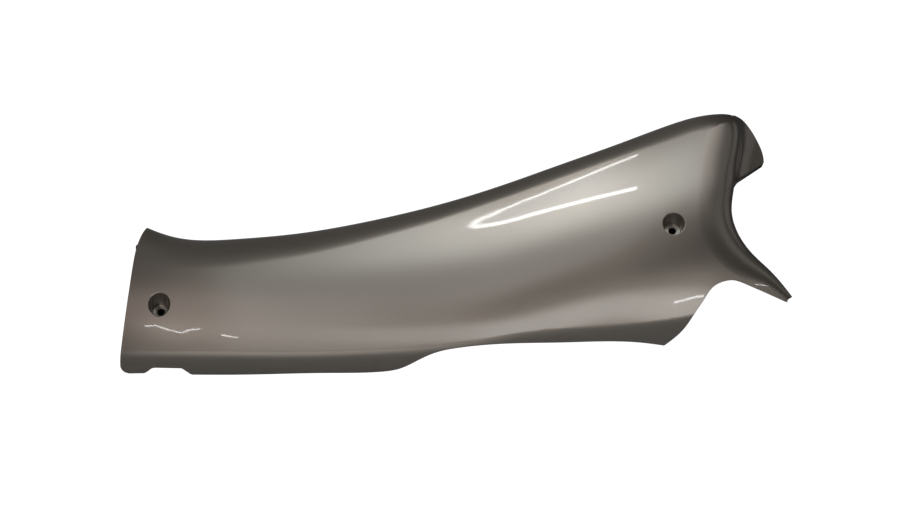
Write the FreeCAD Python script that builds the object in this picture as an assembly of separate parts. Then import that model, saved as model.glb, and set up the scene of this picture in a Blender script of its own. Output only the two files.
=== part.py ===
import FreeCAD, Part
import math
import os
from FreeCAD import Vector

# Under side cover: a one-piece injection-moulded, painted body panel.
# Axes: X along the panel, Z up across it, -Y out of its painted face.
# The origin is the middle of the rear screw hole, on the seat in its pocket.

LENGTH = 568.9              # over all, along X
HEIGHT = 222.6              # over all, along Z
WALL = 2.5                  # moulded wall, the same all over

# All points below, X and Z, are drawn on a panel of this length and height, and are
# then moved so that the first seat is the origin.
DRAWN_LENGTH = 568.9
DRAWN_HEIGHT = 222.6

# Skin. Its cross lines run from the left end, round the fork, to the tip of the
# spike. Each has a foot (past the lower edge), a waist and a rim point as X, Z,
# then the width of the roll at the rim and the flare of the wall behind it.
LINES = [
    ((-50, -61), (-45, 7), (-30, 78), 26, 0),
    ((4, -61), (7, 6), (15, 61.5), 26, 0),
    ((60, -60.5), (61, 5), (64, 60.5), 24, 0),
    ((119, -60), (119, 4), (119, 65.5), 21, 0),
    ((174, -58), (174, 5), (174, 75), 17, 0),
    ((225, -55), (227, 8), (230, 88), 14, 0),
    ((276, -49), (279, 15), (285, 104.4), 12, 0),
    ((323, -43), (327, 28), (340, 123.8), 12, 0),
    ((361, -40), (371, 41), (391, 142), 12, 0),
    ((393, -37.5), (405, 53), (435, 158.3), 13, 0),
    ((416, -35.5), (427, 63), (472, 167), 16, 0),
    ((430, -34), (438.5, 78), (490.5, 164), 24, 3),
    ((440, -32.5), (444.5, 84), (494, 144.5), 31, 17),
    ((448, -31), (449, 85.5), (490.5, 123), 34, 31.5),
    ((456, -29), (451.5, 85), (487, 102), 34, 33),
    ((464, -27), (454, 80), (484.3, 82.5), 33, 9),
    ((476, -25), (461, 65), (491, 62), 30, 0),
    ((491, -21), (478, 45), (501.2, 48.2), 24, 0),
    ((510, -16), (499, 28), (517.5, 32.8), 15, 0),
    ((533, -9), (530, 8.5), (536, 11.6), 6, 0),
]
FOOT_ROLL = 28.0            # width of the roll under the lower edge
FOOT_SHARE = 0.42           # most that it takes of the line below the waist
FOOT_DEPTH = 1.0            # its depth, as a share of its width
RIM_SHARE = 0.6             # most that the rim's roll takes of the line above the waist
ROLL_DEPTH = 0.6            # depth of the rim's roll, as a share of its width
ROLL_END = 0.97             # share of a quarter ellipse that this roll runs through
ROLL_FADE = 0.1             # share of its width in which it straightens past the rim
EASE = 0.4                  # spread of the cross line's points round its waist
RETURN = 8.0                # depth of the wall turned back behind the rim's roll
FLARE_BACK = 0.5            # depth that it gains with its flare
DEGREE = 3
ROWS = 77                   # cross lines that the skin is faired through
COLS = 31                   # points on each of them

# Crown: the line where the face stands out most, as X, Z and depth. The face
# slopes away from it above and below, past a rounding of this half width.
CROWN = [
    (-60, 7, -1), (-20, 6.5, -10), (20, 6, -15.2), (61, 5, -18), (119, 4, -19.5),
    (174, 5, -20.5), (227, 8, -21.5), (279, 15, -23), (327, 28, -24.5), (371, 40, -26),
    (405, 48.5, -27), (440, 58, -27), (475, 67, -25), (505, 74, -20.5), (540, 82, -13),
]
SLOPE_UP = 0.49
SLOPE_DOWN = 0.40
CROWN_WIDTH = 45.0

# Screw pockets, sunk along the mould's draw, which leans up from -Y.
DRAW_TILT = 25.0            # degrees
SEATS = [(2.9, -1.3), (432.5, 66.9)]
SEAT_DEPTHS = [0, -12.5]
SEAT_RADIUS = 6.5
POCKET_DRAFT = 10.0         # degrees
BORE_RADIUS = 3.25
LIP_RADIUS = 0.8

DEEP = 200.0                # reach of every cutter


def spline(knots, values):
    """Natural cubic spline through the values, as a function of u."""
    last = len(knots) - 1
    step = [knots[i + 1] - knots[i] for i in range(last)]
    low = [0.0] * (last + 1)
    rise = [0.0] * (last + 1)
    for i in range(1, last):
        turn = (values[i + 1] - values[i]) / step[i] - (values[i] - values[i - 1]) / step[i - 1]
        pivot = 2 * (step[i - 1] + step[i]) - step[i - 1] * low[i - 1]
        low[i] = step[i] / pivot
        rise[i] = (6 * turn - step[i - 1] * rise[i - 1]) / pivot
    bend = [0.0] * (last + 1)
    for i in range(last - 1, 0, -1):
        bend[i] = rise[i] - low[i] * bend[i + 1]

    def at(u):
        i = max(k for k in range(last) if k == 0 or knots[k] <= u)
        a = (knots[i + 1] - u) / step[i]
        b = 1 - a
        curl = (a ** 3 - a) * bend[i] + (b ** 3 - b) * bend[i + 1]
        return a * values[i] + b * values[i + 1] + curl * step[i] ** 2 / 6

    return at


def drawn(points):
    """Drawn points, at the panel's own length and height, from the first seat."""
    x0, z0 = SEATS[0]
    by_x = LENGTH / DRAWN_LENGTH
    by_z = HEIGHT / DRAWN_HEIGHT
    return [((x - x0) * by_x, (z - z0) * by_z) for x, z in points]


def curve_through(points, marks):
    curve = Part.BSplineCurve()
    curve.interpolate(Points=list(points), Parameters=marks)
    return curve


feet, waists, rims = [drawn(points) for points in list(zip(*LINES))[:3]]
widths, flares = list(zip(*LINES))[3:]
knots = [0.0]
for before, after in zip(rims, rims[1:]):
    knots.append(knots[-1] + math.dist(before, after))
rails = {
    "foot_x": spline(knots, [x for x, z in feet]),
    "foot_z": spline(knots, [z for x, z in feet]),
    "waist_x": spline(knots, [x for x, z in waists]),
    "waist_z": spline(knots, [z for x, z in waists]),
    "rim_x": spline(knots, [x for x, z in rims]),
    "rim_z": spline(knots, [z for x, z in rims]),
    "width": spline(knots, widths),
    "flare": spline(knots, flares),
}
crown = drawn([(x, z) for x, z, depth in CROWN])
crown_z = spline([x for x, z in crown], [z for x, z in crown])
crown_y = spline([x for x, z in crown], [depth for x, z, depth in CROWN])
rows = [knots[-1] * i / (ROWS - 1) for i in range(ROWS)]
cols = [j / (COLS - 1) for j in range(COLS)]
rim_curve = curve_through([Vector(rails["rim_x"](u), 0, rails["rim_z"](u)) for u in rows], rows)


def rolled(gap, width):
    """Depth of the rim's roll at a distance from the rim, which is negative past it."""
    end = math.sqrt(1 - ROLL_END ** 2)
    inside = min(1.0, max(0.0, 1 - gap / width))
    curl = (1 - math.sqrt(1 - (ROLL_END * inside) ** 2)) / (1 - end)
    past = max(0.0, -gap / width)
    slope = ROLL_END ** 2 / end / (1 - end)
    curl += slope * ROLL_FADE * (1 - math.exp(-past / ROLL_FADE))
    return ROLL_DEPTH * width * curl


def face_depth(x, z):
    """Depth of the face without its foot: slopes from the crown, and the rim's roll."""
    t = z - crown_z(x)
    round_off = math.hypot(t, CROWN_WIDTH) - CROWN_WIDTH
    slope = (SLOPE_UP + SLOPE_DOWN) / 2 * round_off + (SLOPE_UP - SLOPE_DOWN) / 2 * t
    here = Vector(x, 0, z)
    u = rim_curve.parameter(here)
    way = rim_curve.tangent(u)[0]
    off = here - rim_curve.value(u)
    past = off.z * way.x - off.x * way.z > 0
    gap = -off.Length if past else off.Length
    return crown_y(x) + slope + rolled(gap, rails["width"](u))


def cross_points(u):
    """The skin's points at u, from the foot to the end of the return wall."""
    at = {name: rail(u) for name, rail in rails.items()}
    foot = Vector(at["foot_x"], 0, at["foot_z"])
    waist = Vector(at["waist_x"], 0, at["waist_z"])
    rim = Vector(at["rim_x"], 0, at["rim_z"])
    low = waist - foot
    high = rim - waist
    foot_roll = min(FOOT_ROLL, FOOT_SHARE * low.Length)
    rim_roll = min(at["width"], RIM_SHARE * high.Length)
    out = high / high.Length
    heel = foot + low * (foot_roll / low.Length)
    shoulder = rim - out * rim_roll
    flare = max(0.0, at["flare"])
    back = RETURN + FLARE_BACK * flare
    poles = [
        foot, foot + (heel - foot) * EASE / 2, heel,
        waist + (heel - waist) * EASE, waist + (shoulder - waist) * EASE,
        shoulder, rim, rim + out * flare * EASE, rim + out * flare,
    ]
    backs = [0, 0, 0, 0, 0, 0, 0, back / 2, back]
    spans = len(poles) - DEGREE
    curve = Part.BSplineCurve()
    curve.buildFromPolesMultsKnots(
        [pole + Vector(0, y, 0) for pole, y in zip(poles, backs)],
        [DEGREE + 1] + [1] * (spans - 1) + [DEGREE + 1],
        [i / spans for i in range(spans + 1)],
        False, DEGREE)
    points = []
    for point in [curve.value(v) for v in cols]:
        rise = (point - foot).dot(low) / low.Length
        sink = max(0.0, 1 - rise / foot_roll)
        depth = face_depth(point.x, point.z) + FOOT_DEPTH * foot_roll * sink ** 2
        points.append(point + Vector(0, depth, 0))
    return points


def surface_through(grid, rows, cols):
    """Smooth surface through a grid of points, its rows and columns at those marks."""
    runs = [curve_through(column, rows) for column in zip(*grid)]
    net = [curve_through(row, cols) for row in zip(*[run.getPoles() for run in runs])]
    made = Part.BSplineSurface()
    made.buildFromPolesMultsKnots(
        [line.getPoles() for line in net],
        runs[0].getMultiplicities(), net[0].getMultiplicities(),
        runs[0].getKnots(), net[0].getKnots(),
        False, False, DEGREE, DEGREE)
    return made


def side(first, second):
    """Straight wall between two edges that have the same knots."""
    made = Part.BSplineSurface()
    made.buildFromPolesMultsKnots(
        [first.getPoles(), second.getPoles()],
        [2, 2], first.getMultiplicities(),
        [0, 1], first.getKnots(),
        False, False, 1, DEGREE)
    return made.toShape()


outer = surface_through([cross_points(u) for u in rows], rows, cols)
inner = surface_through(
    [[outer.value(u, v) - outer.normal(u, v) * WALL for v in cols] for u in rows], rows, cols)
skin = outer.toShape()
faces = [
    skin,
    inner.toShape(),
    side(outer.uIso(rows[0]), inner.uIso(rows[0])),
    side(outer.uIso(rows[-1]), inner.uIso(rows[-1])),
    side(outer.vIso(cols[0]), inner.vIso(cols[0])),
    side(outer.vIso(cols[-1]), inner.vIso(cols[-1])),
]
shell = Part.makeShell(faces)
shell.sewShape()
cover = Part.makeSolid(shell)
if cover.Volume < 0:
    cover.reverse()


# Trim of the lower edge: round lower left corner, shallow notch, the step up to
# the right, the cut-out under the spike and the rounded tip of the spike.
def bend(points):
    curve = Part.BSplineCurve()
    curve.interpolate([Vector(x, 0, z) for x, z in points])
    return curve.toShape()


def line(start, end):
    return Part.makeLine(Vector(start[0], 0, start[1]), Vector(end[0], 0, end[1]))


def arc(start, mid, end):
    return Part.Arc(*[Vector(x, 0, z) for x, z in (start, mid, end)]).toShape()


def prism(edges):
    """Cutter through the whole depth of the cover, from an outline in X, Z."""
    region = Part.Face(Part.Wire(edges))
    region.translate(Vector(0, -DEEP / 2, 0))
    return region.extrude(Vector(0, DEEP, 0))


LEFT_EDGE = drawn([(-3, 88), (-14.3, 66), (-18.2, 52), (-21.3, 30), (-25.3, 0), (-29, -24),
                   (-32.7, -46.5)])
CORNER = drawn([(-32.7, -46.5), (-31.2, -52.3), (-26, -54.2)])
NOTCH = drawn([(-12.5, -53.8), (-5, -48.6), (20, -49), (27, -54.9)])
LOWER_EDGE = drawn([(27, -54.9), (72, -54.7), (140, -53.1), (187, -52.2), (204, -49.3),
                    (218, -42.6), (233, -35.5), (255, -30.7), (289, -27.6), (340, -26.7),
                    (408, -27.3), (428.3, -30.2)])
CUT_OUT = drawn([(428.3, -30.2), (441.6, -17), (450.9, -2.5), (458.9, 10), (466.5, 20.5),
                 (475, 24.7), (483, 25.6), (493, 22.6), (510, 15.5), (530, 6.9)])
TIP = drawn([(530, 6.9), (533.3, 7.8), (534.6, 11)])
FAR = LENGTH + DEEP
outside = [
    line((-DEEP, LEFT_EDGE[0][1]), LEFT_EDGE[0]),
    bend(LEFT_EDGE),
    arc(*CORNER),
    line(CORNER[2], NOTCH[0]),
    line(NOTCH[0], NOTCH[1]),
    line(NOTCH[1], NOTCH[2]),
    line(NOTCH[2], NOTCH[3]),
    bend(LOWER_EDGE),
    bend(CUT_OUT),
    arc(*TIP),
    line(TIP[2], (FAR, TIP[2][1])),
    line((FAR, TIP[2][1]), (FAR, -DEEP)),
    line((FAR, -DEEP), (-DEEP, -DEEP)),
    line((-DEEP, -DEEP), (-DEEP, LEFT_EDGE[0][1])),
]
cover = cover.cut(prism(outside))

# Trim of the tongue: its free lower edge, and the rim between tongue and spike.
TONGUE_EDGE = drawn([(518, 125.5), (516, 120.5), (512, 116.5), (506, 113.8), (498, 111.3),
                     (491, 108.2), (486.7, 104)])
FORK_EDGE = drawn([(486.7, 104), (484.6, 93), (484, 82.5), (486.2, 72), (490.7, 62.3)])
fork = [
    line((FAR, TONGUE_EDGE[0][1]), TONGUE_EDGE[0]),
    bend(TONGUE_EDGE),
    bend(FORK_EDGE),
    line(FORK_EDGE[-1], (FAR, FORK_EDGE[-1][1])),
    line((FAR, FORK_EDGE[-1][1]), (FAR, TONGUE_EDGE[0][1])),
]
cover = cover.cut(prism(fork))

# Screw pockets: a drafted cup behind the skin, its seat and the screw hole.
# Three gussets tie each cup to the back of the skin.
GUSSET_WALL = 1.8
GUSSET_REACH = 14.0
GUSSET_RISE = 9.0
REACH = 40.0
lean = math.radians(DRAW_TILT)
draw = Vector(0, -math.cos(lean), math.sin(lean))
across = Vector(1, 0, 0)
up = Vector(0, math.sin(lean), math.cos(lean))
seats = [Vector(x, y, z) for (x, z), y in zip(drawn(SEATS), SEAT_DEPTHS)]
in_front = skin.extrude(Vector(0, -DEEP, 0))
spread = math.tan(math.radians(POCKET_DRAFT)) * REACH


def gusset(seat, way):
    side = way.cross(draw)
    root = SEAT_RADIUS + WALL / 2
    tip = SEAT_RADIUS + WALL + GUSSET_REACH
    corners = [(root, 0), (tip, GUSSET_RISE), (tip, REACH), (root, REACH), (root, 0)]
    outline = [seat + way * r + draw * h - side * GUSSET_WALL / 2 for r, h in corners]
    return Part.Face(Part.makePolygon(outline)).extrude(side * GUSSET_WALL)


for seat in seats:
    cup = Part.makeCone(SEAT_RADIUS + WALL, SEAT_RADIUS + WALL + spread, REACH, seat, draw)
    backing = cup.fuse([gusset(seat, way) for way in (across, -across, up)]).cut(in_front)
    floor = Part.makeCylinder(SEAT_RADIUS + WALL, WALL, seat - draw * WALL, draw)
    pocket = Part.makeCone(SEAT_RADIUS, SEAT_RADIUS + spread, REACH, seat, draw)
    bore = Part.makeCylinder(BORE_RADIUS, 3 * WALL, seat - draw * 2 * WALL, draw)
    cover = cover.fuse([backing, floor]).cut([pocket, bore])


# The lip of each pocket is rounded.
def is_lip(edge, seat):
    for point in edge.discretize(7):
        height = (point - seat).dot(draw)
        radius = (point - seat - draw * height).Length
        on_cone = abs(radius - SEAT_RADIUS - height * spread / REACH) < 0.05
        if not on_cone or Part.Vertex(point).distToShape(skin)[0] > 0.05:
            return False
    return True


lips = [edge for edge in cover.Edges for seat in seats if is_lip(edge, seat)]
cover = cover.makeFillet(LIP_RADIUS, lips)

# Locating tongues that slip behind the next panels: one at the left edge and
# three on the return wall of the rim.
TONGUE_WALL = 2.0
TONGUE_ROOT = 5.0           # overlap with the wall it grows from
TONGUE_CORNER = 2.0
TONGUE_SINK = 0.25          # its face lies this far under the wall's face
EDGE_TONGUE = drawn([(-12, 55)])[0]
EDGE_TONGUE_SIZE = (7.0, 6.0)
RIM_TONGUES = [100.0, 250.0, 405.0]
RIM_TONGUE_SIZE = (10.0, 16.0)


def tongue(root, way, face, size):
    """Flat tongue that leaves root along way, with its outer side towards face."""
    length, width = size
    side = face.cross(way)
    plate = Part.makeBox(length + TONGUE_ROOT, width, TONGUE_WALL)
    ends = [edge for edge in plate.Edges
            if edge.BoundBox.XMin > length and edge.BoundBox.ZLength > TONGUE_WALL / 2]
    plate = plate.makeFillet(TONGUE_CORNER, ends)
    corner = root - way * TONGUE_ROOT - side * (width / 2) - face * (TONGUE_WALL + TONGUE_SINK)
    plate.Placement = FreeCAD.Placement(FreeCAD.Matrix(
        way.x, side.x, face.x, corner.x,
        way.y, side.y, face.y, corner.y,
        way.z, side.z, face.z, corner.z,
        0, 0, 0, 1))
    return plate


tongues = []
for u in RIM_TONGUES:
    root = outer.value(u, cols[-1])
    along, way = outer.tangent(u, cols[-1])
    face = along.cross(way).normalize()
    tongues.append(tongue(root, way, face, RIM_TONGUE_SIZE))
sight = Part.makeLine(Vector(EDGE_TONGUE[0], -DEEP, EDGE_TONGUE[1]),
                      Vector(EDGE_TONGUE[0], DEEP, EDGE_TONGUE[1]))
spot = sight.distToShape(skin)[1][0][1]
face = outer.normal(*outer.parameter(spot))
if face.y > 0:
    face = -face
way = (face * across.dot(face) - across).normalize()
tongues.append(tongue(spot - face * (WALL - 2 * TONGUE_SINK), way, face, EDGE_TONGUE_SIZE))
cover = cover.fuse(tongues)

cover = cover.removeSplitter()
cover = cover.Solids[0]

os.makedirs("parts", exist_ok=True)
cover.exportStep("parts/under_side_cover.step")
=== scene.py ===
import math

import bpy
import numpy as np
from mathutils.geometry import delaunay_2d_cdt
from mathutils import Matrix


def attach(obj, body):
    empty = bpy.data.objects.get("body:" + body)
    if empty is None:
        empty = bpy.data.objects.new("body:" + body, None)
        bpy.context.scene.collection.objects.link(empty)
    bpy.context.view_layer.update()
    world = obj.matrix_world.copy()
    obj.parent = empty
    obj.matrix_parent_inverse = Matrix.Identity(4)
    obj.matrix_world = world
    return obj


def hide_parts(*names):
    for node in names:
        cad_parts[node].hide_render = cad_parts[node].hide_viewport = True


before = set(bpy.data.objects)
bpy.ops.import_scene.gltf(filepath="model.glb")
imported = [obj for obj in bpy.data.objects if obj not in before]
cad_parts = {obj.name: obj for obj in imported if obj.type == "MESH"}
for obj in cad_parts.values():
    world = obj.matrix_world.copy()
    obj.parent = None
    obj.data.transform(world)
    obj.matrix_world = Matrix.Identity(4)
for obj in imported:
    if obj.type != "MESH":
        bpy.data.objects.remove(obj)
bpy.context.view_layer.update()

# The skin of the cover: one injection-moulded plastic shell with the same wall all
# over, swept through cross lines that run from the left end, fan round the forked
# end and stop at the tip of the spike. Its rim rolls back into a return wall.
MM = 0.001
WALL = 2.5
LINES = [  # foot, waist and rim as X, Z, then the width of the rim's roll and its flare
    ((-50, -61), (-45, 7), (-30, 78), 26, 0),
    ((4, -61), (7, 6), (15, 61.5), 26, 0),
    ((60, -60.5), (61, 5), (64, 60.5), 24, 0),
    ((119, -60), (119, 4), (119, 65.5), 21, 0),
    ((174, -58), (174, 5), (174, 75), 17, 0),
    ((225, -55), (227, 8), (230, 88), 14, 0),
    ((276, -49), (279, 15), (285, 104.4), 12, 0),
    ((323, -43), (327, 28), (340, 123.8), 12, 0),
    ((361, -40), (371, 41), (391, 142), 12, 0),
    ((393, -37.5), (405, 53), (435, 158.3), 13, 0),
    ((416, -35.5), (427, 63), (472, 167), 16, 0),
    ((430, -34), (438.5, 78), (490.5, 164), 24, 3),
    ((440, -32.5), (444.5, 84), (494, 144.5), 31, 17),
    ((448, -31), (449, 85.5), (490.5, 123), 34, 31.5),
    ((456, -29), (451.5, 85), (487, 102), 34, 33),
    ((464, -27), (454, 80), (484.3, 82.5), 33, 9),
    ((476, -25), (461, 65), (491, 62), 30, 0),
    ((491, -21), (478, 45), (501.2, 48.2), 24, 0),
    ((510, -16), (499, 28), (517.5, 32.8), 15, 0),
    ((533, -9), (530, 8.5), (536, 11.6), 6, 0),
]
CROWN = [  # where the face stands out most: X, Z and its depth
    (-60, 7, -1), (-20, 6.5, -10), (20, 6, -15.2), (61, 5, -18), (119, 4, -19.5), (174, 5, -20.5),
    (227, 8, -21.5), (279, 15, -23), (327, 28, -24.5), (371, 40, -26), (405, 48.5, -27),
    (440, 58, -27), (475, 67, -25), (505, 74, -20.5), (540, 82, -13),
]
SLOPE_UP = 0.49
SLOPE_DOWN = 0.40
CROWN_WIDTH = 45.0
ROLL_DEPTH = 0.6
ROLL_END = 0.97
ROLL_FADE = 0.1
FOOT_ROLL = 28.0
FOOT_DEPTH = 1.0
FOOT_SHARE = 0.42  # of the spans below and above the waist, the most that a roll takes
RIM_SHARE = 0.6
RETURN = 8.0
FLARE_BACK = 0.5
FORK_X = 400.0  # to the right of it, the strongest roll of many rim marks counts
FORK_SAMPLES = 900
TONGUE_EDGE = [(518, 125.5), (516, 120.5), (512, 116.5), (506, 113.8), (498, 111.3), (491, 108.2),
               (486.7, 104)]
CUT_OUT = [(428.3, -30.2), (441.6, -17), (450.9, -2.5), (458.9, 10), (466.5, 20.5), (475, 24.7),
           (483, 25.6), (493, 22.6), (510, 15.5), (530, 6.9)]
TIP = [(530, 6.9), (533.3, 7.8), (534.6, 11)]
COLUMNS = 330
ROWS_FACE = 74
ROWS_RIM = 40
EDGE_ROUND = 0.35
MIST_REACH = 14.0
MIST_BARE = 0.15
INSIDE_U = 110.0  # a mark and a level that no trim reaches
INSIDE_V = 0.55


def faired(marks, values):
    """Natural cubic spline through rows of values, as a function of many marks."""
    marks = np.asarray(marks, float)
    values = np.asarray(values, float).reshape(len(marks), -1)
    step = np.diff(marks)[:, None]
    turn = np.diff(np.diff(values, axis=0) / step, axis=0) * 6
    inner = len(marks) - 2
    pull = np.zeros((inner, inner))
    for i in range(inner):
        pull[i, i] = 2 * (step[i, 0] + step[i + 1, 0])
        if i:
            pull[i, i - 1] = pull[i - 1, i] = step[i, 0]
    bend = np.zeros_like(values)
    bend[1:-1] = np.linalg.solve(pull, turn)

    def at(u):
        u = np.asarray(u, float)
        i = np.clip(np.searchsorted(marks, u, side="right") - 1, 0, len(marks) - 2)
        a = ((marks[i + 1] - u) / step[i, 0])[..., None]
        b = 1 - a
        curl = (a ** 3 - a) * bend[i] + (b ** 3 - b) * bend[i + 1]
        return a * values[i] + b * values[i + 1] + curl * step[i] ** 2 / 6

    return at


def run_of(points):
    """Distance run along a chain of points, from 0."""
    points = np.asarray(points, float)
    return np.concatenate([[0], np.cumsum(np.linalg.norm(np.diff(points, axis=0), axis=1))])


stations = run_of([line[2] for line in LINES])
U_END = stations[-1]
rails = faired(stations, [[*line[0], *line[1], *line[2], *line[3:]] for line in LINES])
rim_line = faired(stations, [line[2] for line in LINES])
roll_width = faired(stations, [line[3] for line in LINES])
crown_line = faired([x for x, z, y in CROWN], [(z, y) for x, z, y in CROWN])
SPANS = 6
pole_knots = np.concatenate([[0] * 3, np.linspace(0, 1, SPANS + 1), [1] * 3])


def pole_weights(v):
    """Cubic weights of a cross line's nine poles at each v."""
    v = np.clip(np.asarray(v, float), 0, 1 - 1e-9)[:, None]
    w = ((pole_knots[:-1] <= v) & (v < pole_knots[1:])).astype(float)
    for degree in (1, 2, 3):
        n = w.shape[1] - 1
        first, last = pole_knots[:n], pole_knots[degree:degree + n]
        second, after = pole_knots[1:1 + n], pole_knots[degree + 1:degree + 1 + n]
        rise = (v - first) / np.where(last > first, last - first, 1)
        fall = (after - v) / np.where(after > second, after - second, 1)
        w = rise * w[:, :n] + fall * w[:, 1:n + 1]
    return w


def bent(points, count=60):
    """Smooth line through drawn points."""
    marks = run_of(points)
    return faired(marks, points)(np.linspace(0, marks[-1], count))


def arc(start, mid, end, count=12):
    """Round corner through three points."""
    (ax, az), (bx, bz), (cx, cz) = start, mid, end
    d = 2 * (ax * (bz - cz) + bx * (cz - az) + cx * (az - bz))
    sa, sb, sc = ax * ax + az * az, bx * bx + bz * bz, cx * cx + cz * cz
    ox = (sa * (bz - cz) + sb * (cz - az) + sc * (az - bz)) / d
    oz = (sa * (cx - bx) + sb * (ax - cx) + sc * (bx - ax)) / d
    first, last = math.atan2(az - oz, ax - ox), math.atan2(cz - oz, cx - ox)
    turn = (last - first + math.pi) % (2 * math.pi) - math.pi
    t = first + turn * np.linspace(0, 1, count)
    radius = math.hypot(ax - ox, az - oz)
    return np.stack([ox + radius * np.cos(t), oz + radius * np.sin(t)], axis=1)


def rim_gap(x, z, u):
    """Distance to the rim, negative past it, and the rim's mark there."""
    s = u.copy()
    for _ in range(6):
        at = rim_line(s)
        way = rim_line(np.minimum(s + 0.5, U_END)) - rim_line(np.maximum(s - 0.5, 0))
        dx, dz = x - at[:, 0], z - at[:, 1]
        s = np.clip(s + (dx * way[:, 0] + dz * way[:, 1]) / (way ** 2).sum(1), 0, U_END)
    at = rim_line(s)
    dx, dz = x - at[:, 0], z - at[:, 1]
    past = np.sign(dz * way[:, 0] - dx * way[:, 1])
    return -past * np.hypot(dx, dz), s


def rolled(way, width):
    """How far an edge rolls back, by the way left to it."""
    s = np.clip(1 - way / width, 0, 1)
    over = np.maximum(0, -way / width)
    flat = math.sqrt(1 - ROLL_END ** 2)
    steep = ROLL_END ** 2 / flat / (1 - flat)
    curl = (1 - np.sqrt(1 - (ROLL_END * s) ** 2)) / (1 - flat)
    return ROLL_DEPTH * width * (curl + steep * ROLL_FADE * (1 - np.exp(-over / ROLL_FADE)))


fork_marks = np.linspace(0, U_END, FORK_SAMPLES)
fork_marks = fork_marks[rim_line(fork_marks)[:, 0] > FORK_X]
fork_rim, fork_width = rim_line(fork_marks), roll_width(fork_marks)[:, 0]


def face_points(u, v):
    """Points of the painted face, in millimetres."""
    r = rails(u)
    foot, waist, rim = r[:, 0:2], r[:, 2:4], r[:, 4:6]
    width, flare = r[:, 6], np.maximum(0, r[:, 7])
    low, high = waist - foot, rim - waist
    low_run = np.linalg.norm(low, axis=1)
    high_run = np.linalg.norm(high, axis=1)
    foot_roll = np.minimum(FOOT_ROLL, FOOT_SHARE * low_run)
    rim_roll = np.minimum(width, RIM_SHARE * high_run)
    up, out = low / low_run[:, None], high / high_run[:, None]
    heel = foot + up * foot_roll[:, None]
    shoulder = rim - out * rim_roll[:, None]
    back = RETURN + FLARE_BACK * flare
    xz = np.stack([
        foot, foot + (heel - foot) * 0.2, heel,
        waist + (heel - waist) * 0.4, waist + (shoulder - waist) * 0.4,
        shoulder, rim,
        rim + out * (flare * 0.4)[:, None], rim + out * flare[:, None]], axis=1)
    w = pole_weights(v)
    x, z = (xz[:, :, 0] * w).sum(1), (xz[:, :, 1] * w).sum(1)
    here = np.stack([x, z], axis=1)
    crown = crown_line(x)
    t = z - crown[:, 0]
    mean, lean = (SLOPE_UP + SLOPE_DOWN) / 2, (SLOPE_UP - SLOPE_DOWN) / 2
    y = crown[:, 1] + mean * (np.sqrt(t * t + CROWN_WIDTH ** 2) - CROWN_WIDTH) + lean * t
    gap, mark = rim_gap(x, z, u)
    roll = rolled(gap, roll_width(mark)[:, 0])
    near = np.nonzero((gap > 0) & (x > FORK_X))[0]
    parts = len(near) // 4000 + 1  # a few thousand points at a time
    for part in np.array_split(near, parts):
        ways = np.hypot(x[part, None] - fork_rim[:, 0], z[part, None] - fork_rim[:, 1])
        roll[part] = np.maximum(roll[part], rolled(ways, fork_width).max(1))
    y = y + roll
    s = np.clip(1 - ((here - foot) * up).sum(1) / foot_roll, 0, 1)
    y = y + FOOT_DEPTH * foot_roll * s * s
    y = y + back * (w[:, 7] / 2 + w[:, 8])
    return np.stack([x, y, z], axis=1)


def face_normals(u, v):
    """Outward normals of the painted face."""
    du, dv = 0.02, 2e-4
    along = face_points(np.minimum(u + du, U_END), v) - face_points(np.maximum(u - du, 0), v)
    across = face_points(u, np.minimum(v + dv, 1)) - face_points(u, np.maximum(v - dv, 0))
    n = np.cross(along, across)
    return n / np.linalg.norm(n, axis=1)[:, None]


def wall_points(u, v, inset):
    """Points of the wall, set in from the painted face."""
    points = face_points(u, v)
    return points - face_normals(u, v) * inset if inset else points


# Its trimmed edges: the left edge with a round lower corner, the lower edge with its
# notch and step, the cut-out under the spike and its tip, and the fork by the tongue.
left_line = np.concatenate([
    bent([(-3, 88), (-14.3, 66), (-18.2, 52), (-21.3, 30), (-25.3, 0), (-29, -24), (-32.7, -46.5)]),
    arc((-32.7, -46.5), (-31.2, -52.3), (-26, -54.2))[1:]])
NOTCH = [(-12.5, -53.8), (-5, -48.6), (20, -49), (27, -54.9)]
low_line = np.concatenate([
    [(-200, -54.2), (-26, -54.2)], NOTCH[:3],
    bent([(27, -54.9), (72, -54.7), (140, -53.1), (187, -52.2), (204, -49.3), (218, -42.6),
          (233, -35.5), (255, -30.7), (289, -27.6), (340, -26.7), (408, -27.3), (428.3, -30.2)], 160),
    bent(CUT_OUT, 90)[1:],
    arc(*TIP)[1:], [(700, 11)]])
fork_line = np.concatenate([
    [(700, 127), (540, 126.5)],
    bent(TONGUE_EDGE),
    bent([(486.7, 104), (484.6, 93), (484, 82.5), (486.2, 72), (490.7, 62.3)])[1:],
    [(495, 61), (520, 60), (700, 59.5)]])[::-1]


def above_low(p):
    """How far points are above the lower edge."""
    return p[:, 2] - np.interp(p[:, 0], low_line[:, 0], low_line[:, 1])


def before_fork(p):
    """How far points are to the left of the fork, which ends above and below it."""
    return np.interp(p[:, 2], fork_line[:, 1], fork_line[:, 0], left=900, right=900) - p[:, 0]


def right_of_left(p):
    """How far points are to the right of the left edge."""
    return p[:, 0] - np.interp(p[:, 2], left_line[::-1, 1], left_line[::-1, 0])


def crossing(test, place, first, last, tries):
    """For each line, the first value between first and last where test turns negative."""
    low, high = first.copy(), last.copy()
    found = np.zeros(len(first), bool)
    before = first.copy()
    for k in range(1, tries + 1):
        here = first + (last - first) * k / tries
        hit = ~found & (test(place(here)) < 0)
        low[hit], high[hit] = before[hit], here[hit]
        found |= hit
        before = here
    for _ in range(22):
        mid = (low + high) / 2
        inside = test(place(mid)) >= 0
        low, high = np.where(inside, mid, low), np.where(inside, high, mid)
    return np.where(found, (low + high) / 2, last)


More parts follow.
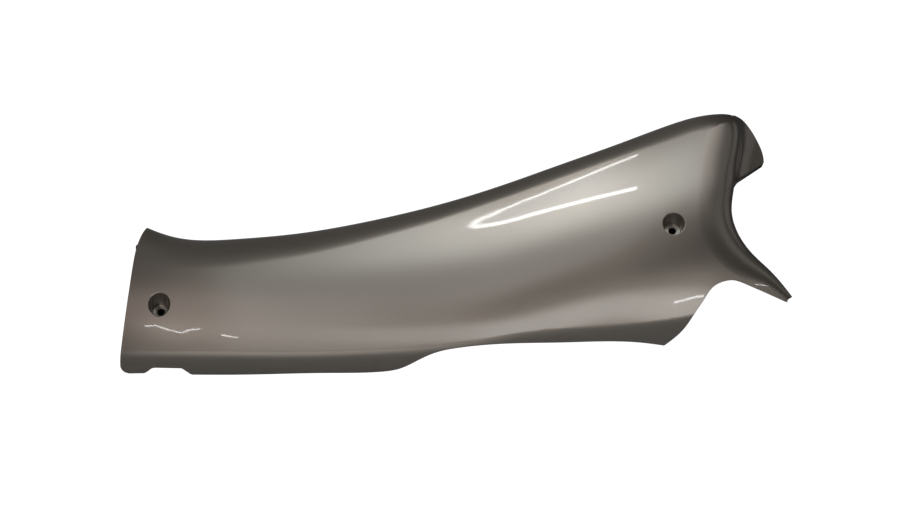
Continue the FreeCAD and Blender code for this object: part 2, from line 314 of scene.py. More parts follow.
def v_range(u, inset):
    """Where the lower edge and the fork cut the cross lines at u."""
    start = np.full(len(u), INSIDE_V)
    low = crossing(above_low, lambda v: wall_points(u, v, inset), start, np.zeros(len(u)), 60)
    high = crossing(before_fork, lambda v: wall_points(u, v, inset), start, np.ones(len(u)), 40)
    return low, high


def trimmed(inset, shares):
    """Grid of u, v that fills the trimmed wall: rows from the lower edge to the rim."""
    even = np.linspace(0, U_END, 700)
    fine = np.linspace(560, 640, 240)  # by the fork, where the trim turns sharply
    table_u = np.unique(np.concatenate([even, fine]))
    table_low, table_high = v_range(table_u, inset)

    def v_at(u, row):
        """Level of a row: rows up to the waist lie wider than those of the rim."""
        low, high = np.interp(u, table_u, table_low), np.interp(u, table_u, table_high)
        waist = np.maximum(0.62, low + 0.3 * (1 - low))
        waist = np.minimum(waist, low + 0.75 * (high - low))
        face = low + (waist - low) * np.minimum(1, row / ROWS_FACE)
        rim = (high - waist) * np.maximum(0, (row - ROWS_FACE) / ROWS_RIM)
        return face + rim

    rows = np.arange(ROWS_FACE + ROWS_RIM + 1.0)
    start = crossing(right_of_left, lambda u: wall_points(u, v_at(u, rows), inset),
                     np.full(len(rows), INSIDE_U), np.zeros(len(rows)), 200)
    u = start[None, :] + (U_END - start[None, :]) * shares[:, None]
    v = v_at(u.ravel(), np.tile(rows, len(shares))).reshape(u.shape)
    return u, v


def shares_with(corners):
    """Even columns, with one moved to each sharp corner of the lower edge."""
    shares = np.linspace(0, 1, COLUMNS + 1)
    for c in corners:
        shares[np.argmin(np.abs(shares - c))] = c
    return shares


probe = np.linspace(0, U_END, 2400)
probe_low = v_range(probe, 0)[0]
probe_x = face_points(probe, probe_low)[:, 0]
u_first = np.interp(-26, probe_x, probe)
corner_shares = [(np.interp(x, probe_x, probe) - u_first) / (U_END - u_first)
                 for x, z in NOTCH + CUT_OUT[:1]]
shares = shares_with(corner_shares)
outer_u, outer_v = trimmed(0, shares)
inner_u, inner_v = trimmed(WALL, shares)
columns, rows = outer_u.shape
outer = face_points(outer_u.ravel(), outer_v.ravel()).reshape(columns, rows, 3)
inner = wall_points(inner_u.ravel(), inner_v.ravel(), WALL).reshape(columns, rows, 3)
outer_out = face_normals(outer_u.ravel(), outer_v.ravel()).reshape(columns, rows, 3)
inner_out = -face_normals(inner_u.ravel(), inner_v.ravel()).reshape(columns, rows, 3)

verts, normals, inside = [], [], []  # of the whole shell, with how far inside a point is
faces = []


def add_points(points, ways, depth):
    """Adds points with their normals, and returns their numbers."""
    first = len(verts)
    verts.extend(np.asarray(points, float).reshape(-1, 3))
    normals.extend(np.asarray(ways, float).reshape(-1, 3))
    inside.extend(np.broadcast_to(depth, len(verts) - first))
    return np.arange(first, len(verts))


def strip(a, b, closed=True):
    """Quads between two rows of points."""
    n = len(a) if closed else len(a) - 1
    for k in range(n):
        m = (k + 1) % len(a)
        faces.append((a[k], a[m], b[m], b[k]))


def unit(a):
    """Ways scaled to length 1."""
    return a / np.maximum(np.linalg.norm(a, axis=-1, keepdims=True), 1e-12)


def ring(grid):
    """Border of a grid: lower edge, right end, rim, left edge."""
    return np.concatenate([grid[:-1, 0], grid[-1, :-1], grid[:0:-1, -1], grid[0, :0:-1]])


def ring_next(grid):
    """The points one step in from that border."""
    return np.concatenate([grid[:-1, 1], grid[-2, :-1], grid[:0:-1, -2], grid[1, :0:-1]])


edge_outer, edge_inner = ring(outer), ring(inner)
across_edge = unit(edge_inner - edge_outer)


def rounded(grid, edge, away):
    """Near, middle and far rows of a sheet's rounded edge."""
    step_in = ring_next(grid) - edge
    room = np.linalg.norm(step_in, axis=1)
    radius = np.minimum(EDGE_ROUND, 0.45 * room)[:, None]
    near = edge + unit(step_in) * radius
    far = edge + away * radius
    t = np.array([0.3, 0.7])[:, None, None]
    return near, (1 - t) ** 2 * near + 2 * t * (1 - t) * edge + t * t * far, far


def set_ring(grid, points):
    """Moves a grid's border to new points."""
    a, b = grid.shape[0] - 1, grid.shape[1] - 1
    grid[:-1, 0] = points[:a]
    grid[-1, :-1] = points[a:a + b]
    grid[:0:-1, -1] = points[a + b:2 * a + b]
    grid[0, :0:-1] = points[2 * a + b:]


near_o, mids_o, far_o = rounded(outer, edge_outer, across_edge)
near_i, mids_i, far_i = rounded(inner, edge_inner, -across_edge)
set_ring(outer, near_o)
set_ring(inner, near_i)
along_edge = np.roll(edge_outer, -1, axis=0) - np.roll(edge_outer, 1, axis=0)
edge_out = unit(np.cross(along_edge, across_edge))
edge_out *= np.sign((edge_out * (edge_outer - ring_next(outer))).sum(1, keepdims=True))


def overspray(grid):
    """How bare the back is: paint mist reaches a little way in from the edges."""
    across = np.linalg.norm(np.diff(grid, axis=1), axis=2)
    up = np.concatenate([np.zeros((columns, 1)), np.cumsum(across, axis=1)], axis=1)
    down = up[:, -1:] - up
    along = np.linalg.norm(np.diff(grid, axis=0), axis=2)
    right = np.concatenate([np.zeros((1, rows)), np.cumsum(along, axis=0)], axis=0)
    reach = np.minimum(np.minimum(up, down), np.minimum(right, right[-1:] - right))
    t = np.clip(reach / MIST_REACH, 0, 1)
    return MIST_BARE + (1 - MIST_BARE) * t * t * (3 - 2 * t)


outer_ids = add_points(outer, outer_out, 0.0).reshape(columns, rows)
inner_ids = add_points(inner, inner_out, overspray(inner).ravel()).reshape(columns, rows)
edge_rows = [ring(outer_ids)]
for t, points in ((0.3, mids_o[0]), (0.7, mids_o[1]), (1.0, far_o)):
    edge_rows.append(add_points(points, unit(ring(outer_out) * (1 - t) + edge_out * t), 0.0))
for t, points in ((1.0, far_i), (0.7, mids_i[1]), (0.3, mids_i[0])):
    edge_rows.append(add_points(points, unit(ring(inner_out) * (1 - t) + edge_out * t), 0.1))
edge_rows.append(ring(inner_ids))
for a, b in zip(edge_rows, edge_rows[1:]):
    strip(b, a)

# The two screw pockets, moulded with the skin: a drafted cup sunk along the mould's
# draw, with a rounded lip, a flat seat and a clear hole for a body screw.
LEAN = math.radians(25)
DRAW = np.array([0, -math.cos(LEAN), math.sin(LEAN)])
ACROSS = np.array([1.0, 0, 0])
UP = np.array([0, math.sin(LEAN), math.cos(LEAN)])
SEATS = [np.array([2.9, 0, -1.3]), np.array([432.5, -12.5, 66.9])]
SEAT_RADIUS = 6.5
BORE_RADIUS = 3.25
DRAFT = math.tan(math.radians(10))
LIP_RADIUS = 0.8
SEAT_ROUND = 0.6
BORE_LAND = 0.9
BORE_EDGE = 0.25
CUP_ROUND = 0.5
SKIRT = 1.0
CUT_GAP = 1.2  # between the mouth and the cells that are cut for it
ROUND = 96
turns = np.arange(ROUND) * 2 * math.pi / ROUND


def lateral(points, seat):
    """Points as seen along the draw, across and up from the seat."""
    return np.stack([(points - seat) @ ACROSS, (points - seat) @ UP], axis=-1)


def onto_wall(spots, seat, inset, start):
    """u, v of the wall's points that lie over the given spots, seen along the draw."""
    u, v = start[0].copy(), start[1].copy()
    for _ in range(12):
        here = lateral(wall_points(u, v, inset), seat)
        by_u = (lateral(wall_points(u + 0.05, v, inset), seat) - here) / 0.05
        by_v = (lateral(wall_points(u, v + 1e-4, inset), seat) - here) / 1e-4
        miss = spots - here
        det = by_u[:, 0] * by_v[:, 1] - by_u[:, 1] * by_v[:, 0]
        u += (miss[:, 0] * by_v[:, 1] - miss[:, 1] * by_v[:, 0]) / det
        v += (by_u[:, 0] * miss[:, 1] - by_u[:, 1] * miss[:, 0]) / det
        u, v = np.clip(u, 0, U_END), np.clip(v, 0, 1)
    return u, v


def nearest(seat, grid, grid_u, grid_v, spots):
    """u, v of the grid's points nearest to the given spots."""
    flat = lateral(grid.reshape(-1, 3), seat)
    pick = [np.argmin(((flat - s) ** 2).sum(1)) for s in spots]
    return grid_u.ravel()[pick], grid_v.ravel()[pick]


def mouth(seat, radius, inset, grid, grid_u, grid_v):
    """Where a drafted cup of that seat radius meets the wall: u, v and radius all round."""
    way = np.stack([np.cos(turns), np.sin(turns)], axis=1)
    reach = np.full(ROUND, radius + 2.0)
    uv = nearest(seat, grid, grid_u, grid_v, way * reach[:, None])
    for _ in range(12):
        uv = onto_wall(way * reach[:, None], seat, inset, uv)
        height = (wall_points(*uv, inset) - seat) @ DRAW
        reach = radius + DRAFT * height
    return uv, reach


def opened(ids, grid, seat, reach, gap):
    """Which cells of a sheet the mouth takes, and the loop of points round them."""
    flat = lateral(grid, seat)
    far = np.hypot(flat[..., 0], flat[..., 1])
    angle = np.arctan2(flat[..., 1], flat[..., 0]) % (2 * math.pi)
    limit = np.interp(angle, np.append(turns, 2 * math.pi), np.append(reach, reach[0])) + gap
    near = far < limit
    taken = near[:-1, :-1] | near[1:, :-1] | near[:-1, 1:] | near[1:, 1:]
    follow = {}
    for i, j in zip(*np.nonzero(taken)):
        for (a, b), other in (
                (((i, j), (i + 1, j)), (i, j - 1)), (((i + 1, j), (i + 1, j + 1)), (i + 1, j)),
                (((i + 1, j + 1), (i, j + 1)), (i, j + 1)), (((i, j + 1), (i, j)), (i - 1, j))):
            if not taken[other]:
                follow[ids[a]] = ids[b]
    loop = [next(iter(follow))]
    while follow[loop[-1]] != loop[0]:
        loop.append(follow[loop[-1]])
    return taken, np.array(loop)


def in_loop(points, loop):
    """Which points lie inside a closed loop."""
    hit = np.zeros(len(points), bool)
    for a, b in zip(loop, np.roll(loop, -1, axis=0)):
        cross = (a[1] > points[:, 1]) != (b[1] > points[:, 1])
        run = a[0] + (points[:, 1] - a[1]) * (b[0] - a[0]) / np.where(a[1] == b[1], 1, b[1] - a[1])
        hit ^= cross & (points[:, 0] < run)
    return hit


def fill(loop, rim, seat, facing):
    """Triangles between the cut cells and the rim of the mouth."""
    ids = np.concatenate([loop, rim])
    flat = lateral(np.array([verts[k] for k in ids]), seat)
    n, m = len(loop), len(rim)
    edges = [(k, (k + 1) % n) for k in range(n)] + [(n + k, n + (k + 1) % m) for k in range(m)]
    _, _, tris, source, _, _ = delaunay_2d_cdt([tuple(p) for p in flat], edges, [], 0, 1e-6)
    tris = np.array([[source[k][0] for k in t] for t in tris])
    middle = flat[tris].mean(axis=1)
    keep = in_loop(middle, flat[:n]) & ~in_loop(middle, flat[n:])
    for t in tris[keep]:
        p = flat[t]
        turn = (p[1, 0] - p[0, 0]) * (p[2, 1] - p[0, 1]) - (p[1, 1] - p[0, 1]) * (p[2, 0] - p[0, 0])
        a, b, c = ids[t]
        faces.append((a, b, c) if turn * facing > 0 else (a, c, b))


spin = ACROSS * np.cos(turns)[:, None] + UP * np.sin(turns)[:, None]
taken_outer = np.zeros((columns - 1, rows - 1), bool)
taken_inner = np.zeros((columns - 1, rows - 1), bool)
for seat in SEATS:
    # outside: lip, cone, seat, hole
    uv, reach = mouth(seat, SEAT_RADIUS, 0, outer, outer_u, outer_v)
    lip = face_points(*uv)
    down = unit(-DRAW - spin * DRAFT)
    rim_uv = onto_wall(lateral(lip, seat) * (1 + LIP_RADIUS / reach)[:, None], seat, 0, uv)
    rim, rim_out = face_points(*rim_uv), face_normals(*rim_uv)
    wall_out = unit(-spin + DRAW * DRAFT)
    first = add_points(rim, rim_out, 0.0)
    rows_in = [first]
    low = lip + down * LIP_RADIUS
    for t in (0.25, 0.5, 0.75, 1.0):
        p = (1 - t) ** 2 * rim + 2 * t * (1 - t) * lip + t * t * low
        rows_in.append(add_points(p, unit(rim_out * (1 - t) + wall_out * t), 0.0))
    height = (low - seat) @ DRAW
    for h in (0.75, 0.5, 0.25):
        level = SEAT_ROUND + (height - SEAT_ROUND) * h
        p = seat + spin * (SEAT_RADIUS + DRAFT * level)[:, None] + DRAW * level[:, None]
        rows_in.append(add_points(p, wall_out, 0.0))
    foot = seat + spin * (SEAT_RADIUS + DRAFT * SEAT_ROUND) + DRAW * SEAT_ROUND
    floor = seat + spin * (SEAT_RADIUS - SEAT_ROUND)
    corner = seat + spin * SEAT_RADIUS
    for t in (0, 0.35, 0.7, 1):
        p = (1 - t) ** 2 * foot + 2 * t * (1 - t) * corner + t * t * floor
        rows_in.append(add_points(p, unit(wall_out * (1 - t) + DRAW * t), 0.0))
    for r, h, n in ((BORE_RADIUS + BORE_LAND, 0, DRAW), (BORE_RADIUS + BORE_EDGE, 0, DRAW),
                    (BORE_RADIUS, -BORE_EDGE, -spin), (BORE_RADIUS, -WALL + BORE_EDGE, -spin),
                    (BORE_RADIUS + BORE_EDGE, -WALL, -DRAW)):
        ways = np.broadcast_to(n, (ROUND, 3))
        rows_in.append(add_points(seat + spin * r + DRAW * h, ways, 0.0 if h > -WALL / 2 else 1.0))
    # behind: floor of the cup, its wall and the round into the back of the skin
    cup = SEAT_RADIUS + WALL
    uv, reach = mouth(seat, cup, WALL, inner, inner_u, inner_v)
    root = wall_points(*uv, WALL)
    spread_uv = onto_wall(lateral(root, seat) * (1 + SKIRT / reach)[:, None], seat, WALL, uv)
    skirt, skirt_out = wall_points(*spread_uv, WALL), -face_normals(*spread_uv)
    side_out = unit(spin - DRAW * DRAFT)
    cut = 0.3 * CUP_ROUND
    for r, h, n in ((cup - CUP_ROUND, -WALL, -DRAW), (cup - cut, -WALL + cut, spin - DRAW),
                    (cup, -WALL + CUP_ROUND, spin), (cup, 0, side_out)):
        ways = unit(np.broadcast_to(n, (ROUND, 3)))
        rows_in.append(add_points(seat + spin * r + DRAW * h, ways, 1.0))
    top = root + down * SKIRT
    level = (top - seat) @ DRAW
    for h in (0.35, 0.7, 1.0):
        p = seat + spin * (cup + DRAFT * level * h)[:, None] + DRAW * (level * h)[:, None]
        rows_in.append(add_points(p, side_out, 1.0))
    for t in (0.3, 0.65):
        p = (1 - t) ** 2 * top + 2 * t * (1 - t) * root + t * t * skirt
        rows_in.append(add_points(p, unit(side_out * (1 - t) + skirt_out * t), 1.0))
    last = add_points(skirt, skirt_out, 1.0)
    rows_in.append(last)
    for a, b in zip(rows_in, rows_in[1:]):
        strip(a, b)
    taken, loop = opened(outer_ids, outer, seat, np.hypot(*lateral(rim, seat).T), CUT_GAP)
    taken_outer |= taken
    fill(loop, first, seat, 1)
    taken, loop = opened(inner_ids, inner, seat, np.hypot(*lateral(skirt, seat).T), CUT_GAP)
    taken_inner |= taken
    fill(loop, last, seat, -1)

for ids, taken, flip in ((outer_ids, taken_outer, False), (inner_ids, taken_inner, True)):
    for i, j in zip(*np.nonzero(~taken)):
        quad = (ids[i, j], ids[i + 1, j], ids[i + 1, j + 1], ids[i, j + 1])
        faces.append(quad[::-1] if flip else quad)

mesh = bpy.data.meshes.new("cover_shell")
mesh.from_pydata([tuple((p - SEATS[0]) * MM) for p in verts], [],
                 [tuple(int(k) for k in f) for f in faces])
bare_at = mesh.attributes.new("bare", "FLOAT", "POINT")
bare_at.data.foreach_set("value", np.array(inside, np.float32))
mesh.shade_smooth()
mesh.normals_split_custom_set_from_vertices([tuple(n) for n in normals])
mesh.validate()
cover = bpy.data.objects.new("cover_shell", mesh)
bpy.context.scene.collection.objects.link(cover)


# Its paint: warm grey metallic base under a glossy clear coat on the face and the
# edges, thinning to mist over the bare dark plastic at the back.
class Socket:
    """A shader socket that sums and products can be written with."""

    def __init__(self, tree, socket=None):
        self.tree, self.socket = tree, socket

    def node(self, kind, settings=None, out=0, **links):
        """Adds a node: its settings, then the values or links of its sockets."""
        made = self.tree.nodes.new(kind)
        for key, value in (settings or {}).items():
            setattr(made, key, value)
        for key, value in links.items():
            name = key.replace("_", " ")
            socket = made.inputs[int(name[1:])] if name[1:].isdigit() else made.inputs[name]
            if isinstance(value, Socket):
                self.tree.links.new(value.socket, socket)
            else:
                socket.default_value = value
        return Socket(self.tree, made.outputs[out]) if len(made.outputs) else made

    def math(self, operation, a, b):
        """Adds a sum, a product or another operation of two values."""
        return self.node("ShaderNodeMath", {"operation": operation}, i0=a, i1=b)

    def __add__(self, other):
        return self.math("ADD", self, other)

    __radd__ = __add__

    def __mul__(self, other):
        return self.math("MULTIPLY", self, other)

    __rmul__ = __mul__

    def __sub__(self, other):
        return self.math("SUBTRACT", self, other)

    def __rsub__(self, other):
        return self.math("SUBTRACT", other, self)


def finish_named(name):
    """A new material, as a tree to write on and its surface shader."""
    material = bpy.data.materials.new(name)
    material.use_nodes = True
    tree = material.node_tree
    return material, Socket(tree), tree.nodes["Principled BSDF"]


def feed(tree, shader, **links):
    """Links what varies over the surface to the shader."""
    for key, value in links.items():
        tree.tree.links.new(value.socket, shader.inputs[key.replace("_", " ")])


PAINT_DARK = (0.26, 0.227, 0.194, 1)
PAINT_LIGHT = (0.34, 0.297, 0.254, 1)
PLASTIC = (0.035, 0.035, 0.037, 1)
paint, tree, shader = finish_named("paint")
place = tree.node("ShaderNodeTexCoord", out="Object")
flake = tree.node("ShaderNodeTexNoise", {}, Vector=place, Scale=2600.0, Detail=1.0)
cloud = tree.node("ShaderNodeTexNoise", {}, Vector=place, Scale=22.0, Detail=3.0)
bare = tree.node("ShaderNodeAttribute", {"attribute_name": "bare"}, out="Fac")
mist = tree.node("ShaderNodeTexNoise", {}, Vector=place, Scale=900.0, Detail=2.0)
plain = tree.node("ShaderNodeMapRange", {"clamp": True}, Value=bare + 0.25 * (mist - 0.5) * bare,
                  From_Min=0.1, From_Max=0.9)
tone = flake * 0.7 + cloud * 0.3
mixed = {"data_type": "RGBA"}
metal = tree.node("ShaderNodeMix", mixed, out=2, i0=tone, i6=PAINT_DARK, i7=PAINT_LIGHT)
colour = tree.node("ShaderNodeMix", mixed, out=2, i0=plain, i6=metal, i7=PLASTIC)
feed(tree, shader,
     Base_Color=colour,
     Metallic=0.8 - 0.8 * plain,
     Roughness=0.3 + 0.06 * cloud + 0.14 * plain,
     Coat_Weight=1 - plain,
     Normal=tree.node("ShaderNodeBump", {}, Strength=0.08, Distance=0.0002,
                      Height=flake + mist * plain))
shader.inputs["Coat Roughness"].default_value = 0.04
shader.inputs["Coat IOR"].default_value = 1.5
mesh.materials.append(paint)
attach(cover, "root")
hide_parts("under_side_cover")


# The three rim tongues: flat plates with broken edges and round corners, moulded with
# the shell and seated in the rim's return wall, which slip behind the next panel. A node
# tree grows them from seeds, and the edge tongue and the ribs after them.
def grown(name, seeds, sizes, ribs=False):
    """Plates grown by a node tree from seeds, which are points with a way and a side."""
    tree = bpy.data.node_groups.new(name, "GeometryNodeTree")
    faced = tree.interface
    faced.new_socket("Geometry", in_out="OUTPUT", socket_type="NodeSocketGeometry")
    faced.new_socket("Geometry", in_out="INPUT", socket_type="NodeSocketGeometry")
    kinds = {key: "NodeSocketFloat" for key in sizes}
    kinds.update(Cover="NodeSocketObject", Finish="NodeSocketMaterial")
    named = {key: faced.new_socket(key, in_out="INPUT", socket_type=kind).identifier
             for key, kind in kinds.items()}
    group = tree.nodes.new("NodeGroupInput")
    given = {key: Socket(tree, group.outputs[key]) for key in ["Geometry", *kinds]}
    new = Socket(tree).node

    def attribute(key, kind="FLOAT"):
        return new("GeometryNodeInputNamedAttribute", {"data_type": kind}, Name=key)

    # a plate with broken edges: a block of unit size, bent to its measures
    block = new("GeometryNodeMeshCube", Vertices_X=12, Vertices_Y=2 if ribs else 25, Vertices_Z=4)
    at = new("GeometryNodeInputPosition")
    a, b, c = [new("ShaderNodeSeparateXYZ", out=k, Vector=at) for k in range(3)]
    share = a + 0.5
    skirt = c.math("GREATER_THAN", c.math("ABSOLUTE", c, 0.0), 0.4)
    edge = given["Edge"] * skirt
    z = c.math("SIGN", c, 0.0) * (given["Wall"] * 0.5 - given["Edge"] * (1 - skirt))
    if ribs:
        x = share * (given["Length"] - edge)
        y = given["Rise"] * share + edge + (b + 0.5) * 0.5 * MM
    else:
        y = b * (given["Width"] - 2 * edge)
        corner = given["Corner"]
        past = c.math("MAXIMUM", c.math("ABSOLUTE", y, 0.0) - given["Width"] * 0.5 + corner, 0.0)
        left = c.math("MAXIMUM", corner * corner - past * past, 0.0)
        end = given["Length"] - edge - corner + c.math("SQRT", left, 0.0)
        x = share * (end + given["Root"]) - given["Root"]
    for key, value in (("share", share), ("top", b + 0.5)):
        block = new("GeometryNodeStoreNamedAttribute", {}, Geometry=block, Name=key, Value=value)
    plate = new("GeometryNodeSetPosition", {}, Geometry=block,
                Position=new("ShaderNodeCombineXYZ", {}, X=x, Y=y, Z=z))
    turn = new("FunctionNodeAxesToRotation", {"primary_axis": "X", "secondary_axis": "Y"},
               Primary_Axis=attribute("way", "FLOAT_VECTOR"),
               Secondary_Axis=attribute("side", "FLOAT_VECTOR"))
    made = new("GeometryNodeInstanceOnPoints", {}, Points=given["Geometry"], Instance=plate,
               Rotation=turn)
    made = new("GeometryNodeRealizeInstances", {}, Geometry=made)
    if ribs:  # the upper edge clears the drafted cup, then follows the back of the skin
        clear = given["Clear"] * (1 - attribute("share")) * attribute("top")
        push = new("ShaderNodeVectorMath", {"operation": "SCALE"},
                   i0=attribute("way", "FLOAT_VECTOR"), Scale=clear)
        made = new("GeometryNodeSetPosition", {}, Geometry=made, Offset=push)
        skin = new("GeometryNodeObjectInfo", {}, out="Geometry", Object=given["Cover"])
        side = attribute("side", "FLOAT_VECTOR")
        hit = new("GeometryNodeRaycast", {}, out="Hit Position", Target_Geometry=skin,
                  Ray_Direction=side)
        sunk = new("ShaderNodeVectorMath", {"operation": "SCALE"}, i0=side, Scale=given["Sink"])
        made = new("GeometryNodeSetPosition", {}, Geometry=made, Selection=attribute("top"),
                   Position=new("ShaderNodeVectorMath", {"operation": "ADD"}, i0=hit, i1=sunk))
    made = new("GeometryNodeSetMaterial", {}, Geometry=made, Material=given["Finish"])
    tree.links.new(made.socket, tree.nodes.new("NodeGroupOutput").inputs[0])

    start = bpy.data.meshes.new(name)
    start.from_pydata([tuple((point - SEATS[0]) * MM) for point, way, side in seeds], [], [])
    for key, k in (("way", 1), ("side", 2)):
        held = start.attributes.new(key, "FLOAT_VECTOR", "POINT")
        held.data.foreach_set("vector", np.array([seed[k] for seed in seeds], np.float32).ravel())
    piece = bpy.data.objects.new(name, start)
    bpy.context.scene.collection.objects.link(piece)
    change = piece.modifiers.new(name, "NODES")
    change.node_group = tree
    values = {key: value * MM for key, value in sizes.items()}
    values.update(Cover=cover, Finish=paint)
    for key, value in values.items():
        change[named[key]] = value
    seen = piece.evaluated_get(bpy.context.evaluated_depsgraph_get())
    mesh = bpy.data.meshes.new_from_object(seen)
    piece.modifiers.clear()
    piece.data = mesh
    bare = mesh.attributes.new("bare", "FLOAT", "POINT")
    bare.data.foreach_set("value", np.ones(len(mesh.vertices), np.float32))
    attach(piece, "root")


TONGUE_WALL = 2.0
TONGUE_SINK = 0.25
TONGUE_MARKS = (100.0, 250.0, 405.0)
rim_seeds = []
for u in TONGUE_MARKS:
    low, root = face_points(np.array([u, u]), np.array([1 - 1e-3, 1.0]))
    face = face_normals(np.array([u]), np.array([1.0]))[0]
    way = unit(root - low)
    rim_seeds.append((root - face * (TONGUE_SINK + TONGUE_WALL / 2), way, np.cross(face, way)))
grown("rim_tongues", rim_seeds,
      {"Length": 10, "Width": 16, "Wall": TONGUE_WALL, "Root": 3, "Corner": 2, "Edge": 0.3})

# The edge tongue: one small plate of the same kind, moulded to the back of the skin by the
# left edge. Its end stands out past that edge.
EDGE_X = -12.0
EDGE_Z = 55.0
near = np.argmin(np.hypot(outer[:, :, 0] - EDGE_X, outer[:, :, 2] - EDGE_Z))
near_u = outer_u.ravel()[near] + np.linspace(-4, 4, 81)
near_v = outer_v.ravel()[near] + np.linspace(-0.02, 0.02, 81)
tries = [t.ravel() for t in np.meshgrid(near_u, near_v)]
spots = face_points(*tries)
best = np.argmin(np.hypot(spots[:, 0] - EDGE_X, spots[:, 2] - EDGE_Z))
face = face_normals(tries[0][best:best + 1], tries[1][best:best + 1])[0]
way = unit(face * face[0] - ACROSS)
root = spots[best] - face * (WALL - TONGUE_SINK + TONGUE_WALL / 2)
grown("edge_tongue", [(root, way, np.cross(face, way))],
      {"Length": 7, "Width": 6, "Wall": TONGUE_WALL, "Root": 5, "Corner": 2, "Edge": 0.3})

# The cup ribs: three thin gussets behind each screw pocket, moulded with the shell. They
# start in the cup's wall, and their upper edge runs into the back of the skin.
RIB_WALL = 1.8
RIB_RISE = 6.5
RIB_SINK = 0.3 * WALL
rib_seeds = [(seat + way * (SEAT_RADIUS + WALL / 2), way, DRAW)
             for seat in SEATS for way in (ACROSS, -ACROSS, UP)]
grown("cup_ribs", rib_seeds,
      {"Length": 15.25, "Wall": RIB_WALL, "Rise": RIB_RISE, "Clear": 12 * DRAFT, "Sink": RIB_SINK,
       "Edge": 0.3}, ribs=True)

# The studio: a pale table under the cover, a white card behind it, soft even light from
# the front left and from below, a large cool soft box above, and lit panes and strips
# whose reflections draw the crisp lines in the clear coat.
TABLE = -0.2
TABLE_CORNERS = ((-0.9, -0.25), (1.4, -0.25), (1.4, 0.26), (-0.9, 0.26))
floor_mesh = bpy.data.meshes.new("floor")
floor_mesh.from_pydata([(x, y, TABLE) for x, y in TABLE_CORNERS], [], [(0, 1, 2, 3)])
floor = bpy.data.objects.new("floor", floor_mesh)
bpy.context.scene.collection.objects.link(floor)
floor_paint, tree, shader = finish_named("table_top")
shader.inputs["Base Color"].default_value = (0.72, 0.72, 0.72, 1)
shader.inputs["Roughness"].default_value = 0.6
floor_mesh.materials.append(floor_paint)


def between(value, start, full, fade, end):
    """1 from full to fade, softly falling to 0 at start and end."""
    soft = {"interpolation_type": "SMOOTHSTEP"}
    rise = value.node("ShaderNodeMapRange", soft, Value=value, From_Min=start, From_Max=full)
    fall = value.node("ShaderNodeMapRange", soft, Value=value, From_Min=end, From_Max=fade)
    return rise * fall


world = bpy.data.worlds.new("studio")
world.use_nodes = True
bpy.context.scene.world = world
sky = Socket(world.node_tree)
toward = sky.node("ShaderNodeTexCoord", out="Generated")
across, ahead, above = [sky.node("ShaderNodeSeparateXYZ", out=k, Vector=toward) for k in range(3)]
height = sky.math("ARCTAN2", above, 0 - ahead) * (180 / math.pi)  # degrees up from the front
card = between(ahead, 0.955, 0.968, 2, 3)
side = 0.46 * between(height, -42, -8, 4, 30) * between(across, -0.95, -0.4, -0.14, 0.04)
middle = 0.86 * between(height, -40, -15, 26, 50) * between(across, -0.26, -0.14, -0.09, 0.0)
low = 3.0 * between(height + 39 * across, -31, -26, -23, -16)
low = low * between(across, -0.14, 0.08, 0.35, 0.55)
flank = 0.2 * (between(height, 15, 35, 70, 90) + between(height, 110, 125, 165, 180))
flank = flank * between(across, 0.72, 0.9, 2, 3)
right = 1.1 * between(height, 28, 42, 58, 80) * between(across, 0.0, 0.12, 0.2, 0.95)
rest = 0.11 * (1 - 0.75 * between(across, -0.05, 0.25, 2, 3))
even = card + middle + low + flank + right + rest
lights = sky.node("ShaderNodeCombineColor", {}, Red=even + side,
                  Green=even + 0.86 * side + 0.05 * middle,
                  Blue=even + 0.83 * side + 0.06 * middle)
world.node_tree.links.new(lights.socket, world.node_tree.nodes["Background"].inputs["Color"])


UNFADED = (-2, -1.9, 1.9, 2)


def lit_card(name, rows, strength, colour=(1, 1, 1), along=UNFADED, up=UNFADED, hidden=0.0):
    """A lit card between two rows of points. It clears softly along and up its face, which
    run from -1 to 1, and from behind as far as hidden says."""
    count = len(rows[0])
    shape = bpy.data.meshes.new(name)
    shape.from_pydata([tuple(point) for row in rows for point in row], [],
                      [(k, k + 1, count + k + 1, count + k) for k in range(count - 1)])
    spots = [(x, y, 0) for y in (-1, 1) for x in np.linspace(-1, 1, count)]
    spread = shape.attributes.new("spread", "FLOAT_VECTOR", "POINT")
    spread.data.foreach_set("vector", np.array(spots, np.float32).ravel())
    lamp = bpy.data.objects.new(name, shape)
    bpy.context.scene.collection.objects.link(lamp)
    lamp.visible_camera = False
    lit, tree, shader = finish_named(name)
    where = tree.node("ShaderNodeAttribute", {"attribute_name": "spread"}, out="Vector")
    x, y = [tree.node("ShaderNodeSeparateXYZ", out=k, Vector=where) for k in range(2)]
    behind = tree.node("ShaderNodeNewGeometry", out="Backfacing")
    feed(tree, shader, Alpha=between(x, *along) * between(y, *up) * (1 - hidden * behind))
    shader.inputs["Base Color"].default_value = (0, 0, 0, 1)
    shader.inputs["Specular IOR Level"].default_value = 0
    shader.inputs["Emission Color"].default_value = (*colour, 1)
    shader.inputs["Emission Strength"].default_value = strength
    shape.materials.append(lit)


COVER_MIDDLE = (0.25, 0, 0.03)


def lit_strip(name, points, width, strength):
    """A narrow lit card along points, turned to the cover."""
    points = np.array(points)
    lift = unit(np.cross(np.gradient(points, axis=0), COVER_MIDDLE - points)) * width / 2
    lit_card(name, (points - lift, points + lift), strength)


def above_cover(reach, points):
    """Points, in mm across and up, of a plane square to the light from above."""
    points = np.array(points)
    centre = np.array((336.4, -6.9, 97.6)) + reach * np.array((-0.197, -0.673, 0.713))
    aside = points[:, :1] * np.array((0.98, -0.135, 0.144))
    lift = points[:, 1:] * np.array((0, 0.727, 0.686))
    return (centre + aside + lift) * MM


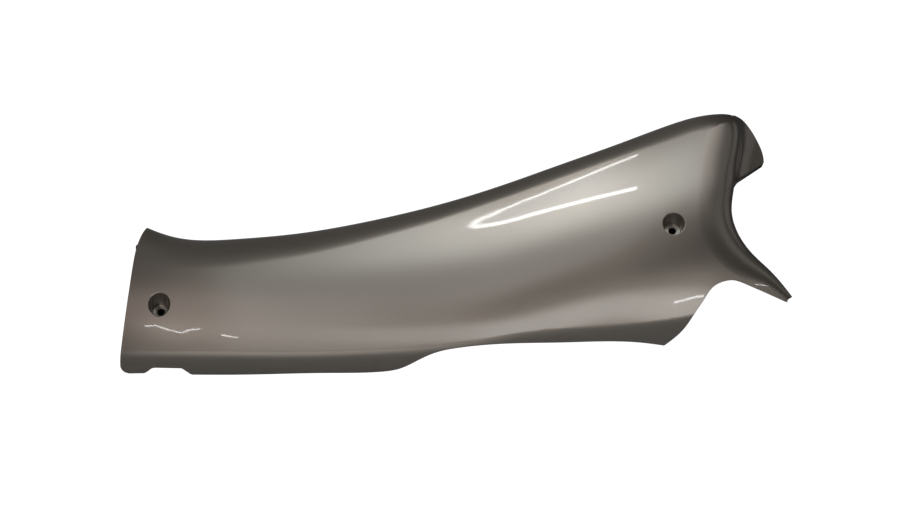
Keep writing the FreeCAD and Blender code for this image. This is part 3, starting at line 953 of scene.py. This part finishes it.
BOX_REACH = 450
PANE_REACH = 350
FRAME_REACH = 346
lit_card("upper_box", (above_cover(BOX_REACH, [(-270, -260), (330, -110)]),
                       above_cover(BOX_REACH, [(-270, -20), (330, 150)])),
         2.2, (0.9, 0.98, 1), along=(-1, -0.33, 0.4, 1.1), up=(-1, 0, 0.35, 0.95))
pane_sill = [(-61, -34), (-51, -32), (-31, -26), (1, -22.5), (36, -19), (64, -16.5), (92, -14)]
pane_head = [(-59, -20), (-52, -6), (-40, 4), (-12, 14), (23, 25), (59, 37), (92, 47)]
lit_card("pane", (above_cover(PANE_REACH, pane_sill), above_cover(PANE_REACH, pane_head)),
         3.2, (0.85, 0.94, 1), along=(-2, -1.9, 0.3, 1.05))
lit_strip("pane_sill", above_cover(FRAME_REACH, pane_sill), 0.0075, 18)
lit_strip("pane_head", above_cover(FRAME_REACH, [(-61, -32), *pane_head]), 0.003, 18)
lit_strip("left_strip", [(-0.150, -0.295, -0.101), (-0.126, -0.304, -0.099),
                         (-0.102, -0.304, -0.118), (-0.079, -0.307, -0.133),
                         (-0.068, -0.315, -0.119), (-0.052, -0.323, -0.115)], 0.006, 12)
lit_strip("left_dash", [(-0.020, -0.323, -0.142), (0.004, -0.326, -0.155)], 0.005, 14)
lit_strip("right_strip", [(0.511, -0.264, -0.153), (0.546, -0.255, -0.144),
                          (0.559, -0.251, -0.1435)], 0.005, 14)
lit_strip("spike_strip", [(0.667, -0.216, -0.126), (0.712, -0.207, -0.077)], 0.005, 14)
lit_card("foot_card", ([(-0.3, -0.25, -0.195), (0.4, -0.25, -0.195)],
                       [(-0.3, -0.04, -0.195), (0.4, -0.04, -0.195)]),
         0.9, along=(-0.8, -0.1, 0.25, 1), up=(-1, -0.5, -0.2, 1), hidden=1.0)

# Painted shade: two small dark cards behind the screw holes, because the holes in the photo are dark.
# They face the camera and are clear from behind.
HOLE_CARD = 0.006
HOLE_CORNERS = 24
hole_shade_spots = [(-0.0011, 0.008, -0.0002), (0.4304, -0.0045, 0.0683)]
angles = np.linspace(0, 2 * math.pi, HOLE_CORNERS, endpoint=False)
hole_shade_mesh = bpy.data.meshes.new("hole_cards")
hole_shade_mesh.from_pydata([(x + HOLE_CARD * math.cos(a), y, z + HOLE_CARD * math.sin(a))
                       for x, y, z in hole_shade_spots for a in angles], [],
                      [tuple(range(k * HOLE_CORNERS, (k + 1) * HOLE_CORNERS)) for k in range(2)])
hole_cards = bpy.data.objects.new("hole_cards", hole_shade_mesh)
bpy.context.scene.collection.objects.link(hole_cards)
# near-black finish of the cards: painted shade in the screw holes
dark, tree, shader = finish_named("painted_hole_shade")
shader.inputs["Base Color"].default_value = (0.01, 0.01, 0.01, 1)
shader.inputs["Roughness"].default_value = 0.9
feed(tree, shader, Alpha=1 - tree.node("ShaderNodeNewGeometry", out="Backfacing"))
hole_shade_mesh.materials.append(dark)

# The camera: level, square to the cover and well back, as in the photo.
camera = bpy.data.cameras.new("camera")
camera.lens = 85
camera.sensor_width = 36
view = bpy.data.objects.new("camera", camera)
view.location = (0.2436, -1.791, 0.04975)
view.rotation_euler = (math.pi / 2, 0, 0)
bpy.context.scene.collection.objects.link(view)
bpy.context.scene.camera = view
bpy.context.scene.view_settings.view_transform = "Standard"
